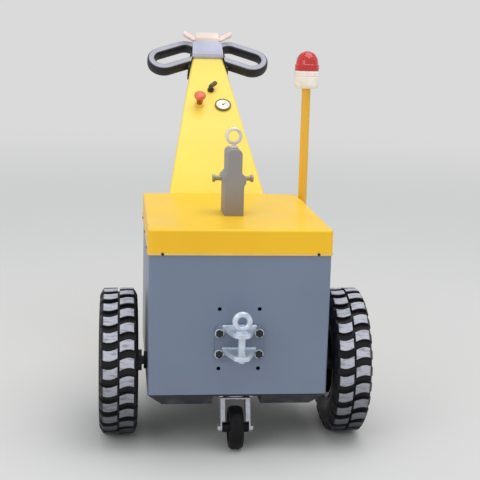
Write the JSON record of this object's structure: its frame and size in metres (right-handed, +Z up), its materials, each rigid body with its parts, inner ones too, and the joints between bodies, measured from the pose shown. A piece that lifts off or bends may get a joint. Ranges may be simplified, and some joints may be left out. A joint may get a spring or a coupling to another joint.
{
  "type": "pedestrian electric tow tug",
  "caption": "Walk-behind battery tug: steel box body on lugged drive wheels and castors, pin hitch, sloping column with looped handle, beacon, lifting post.",
  "frame": {"origin": "on the floor under the middle of the whole tug", "axes": "+Z up, +Y from the hitch towards the operator's handle, +X to the side that carries the beacon pole"},
  "size_m": [0.756, 1.4894, 1.1322],
  "materials": {
    "body_paint": "satin blue-grey paint",
    "pan_paint": "dark grey paint",
    "hood_paint": "glossy yellow paint",
    "strip": "plain edge strip",
    "battery_case": "moulded case",
    "drive_casting": "painted casting",
    "tyre": "dusty black rubber",
    "rim_paint": "black paint",
    "hub_steel": "zinc plated",
    "hitch_zinc": "bright zinc plated",
    "castor_zinc": "zinc plated sheet",
    "castor_tread": "black rubber tread",
    "stop_red": "moulded red head",
    "key_black": "black switch",
    "gauge_face": "pale dial in a metal bezel",
    "head_grey": "light grey moulding",
    "head_black": "black moulding",
    "paddle": "pale moulded paddles",
    "bracket_black": "black clamp",
    "pole_paint": "yellow-orange paint",
    "beacon_white": "white moulded base",
    "beacon_red": "red moulded dome",
    "post_grey": "grey paint",
    "eye_metal": "bright eye"
  },
  "bodies": {
    "chassis": {"floor_pan": "pan_paint", "front_panel": "body_paint", "side_panel_left": "body_paint", "side_panel_right": "body_paint", "rear_panel": "body_paint", "edge_strip": "strip", "hood": "hood_paint", "battery_pack": "battery_case", "drive_unit": "drive_casting", "tow_bracket": "hitch_zinc", "castor_front_plate": "castor_zinc", "castor_rear_plate": "castor_zinc", "column_foot": "hood_paint", "column": "hood_paint", "column_back": "hood_paint", "stop_button": "stop_red", "key_switch": "key_black", "gauge": "gauge_face", "head_cover": "head_grey", "head_shell": "head_black", "grip_left": "head_black", "grip_right": "head_black", "grip_cover_left": "head_grey", "grip_cover_right": "head_grey", "thumb_lever": "paddle", "beacon_bracket": "bracket_black", "beacon_pole": "pole_paint", "beacon_base": "beacon_white", "beacon_dome": "beacon_red", "lifting_post": "post_grey", "cross_pin": "hub_steel", "lifting_eye": "eye_metal"},
    "wheel_left": {"tyre_left": "tyre", "rim_left": "rim_paint", "hub_left": "hub_steel"},
    "wheel_right": {"tyre_right": "tyre", "rim_right": "rim_paint", "hub_right": "hub_steel"},
    "castor_front": {"castor_front_fork": "castor_zinc", "castor_front_axle": "castor_zinc"},
    "castor_front_roller": {"castor_front_wheel": "castor_tread"},
    "castor_rear": {"castor_rear_fork": "castor_zinc", "castor_rear_axle": "castor_zinc"},
    "castor_rear_roller": {"castor_rear_wheel": "castor_tread"},
    "pin": {"tow_pin": "hitch_zinc"}
  },
  "joints": [
    {"name": "wheel_left_roll", "type": "hinge", "parent": "chassis", "child": "wheel_left", "pos_m": [-0.323, -0.45269, 0.2075], "axis": [1, 0, 0], "continuous": true},
    {"name": "wheel_right_roll", "type": "hinge", "parent": "chassis", "child": "wheel_right", "pos_m": [0.323, -0.45269, 0.2075], "axis": [1, 0, 0], "continuous": true},
    {"name": "castor_front_swivel", "type": "hinge", "parent": "chassis", "child": "castor_front", "pos_m": [0, -0.57168, 0.16], "axis": [0, 0, 1], "continuous": true},
    {"name": "castor_front_roll", "type": "hinge", "parent": "castor_front", "child": "castor_front_roller", "pos_m": [0, -0.61169, 0.06], "axis": [1, 0, 0], "continuous": true},
    {"name": "castor_rear_swivel", "type": "hinge", "parent": "chassis", "child": "castor_rear", "pos_m": [0, -0.08768, 0.16], "axis": [0, 0, 1], "continuous": true},
    {"name": "castor_rear_roll", "type": "hinge", "parent": "castor_rear", "child": "castor_rear_roller", "pos_m": [0, -0.12768, 0.06], "axis": [1, 0, 0], "continuous": true},
    {"name": "tow_pin_lift", "type": "slide", "parent": "chassis", "child": "pin", "axis": [0, 0, 1], "range_m": [0, 0.095]}
  ]
}
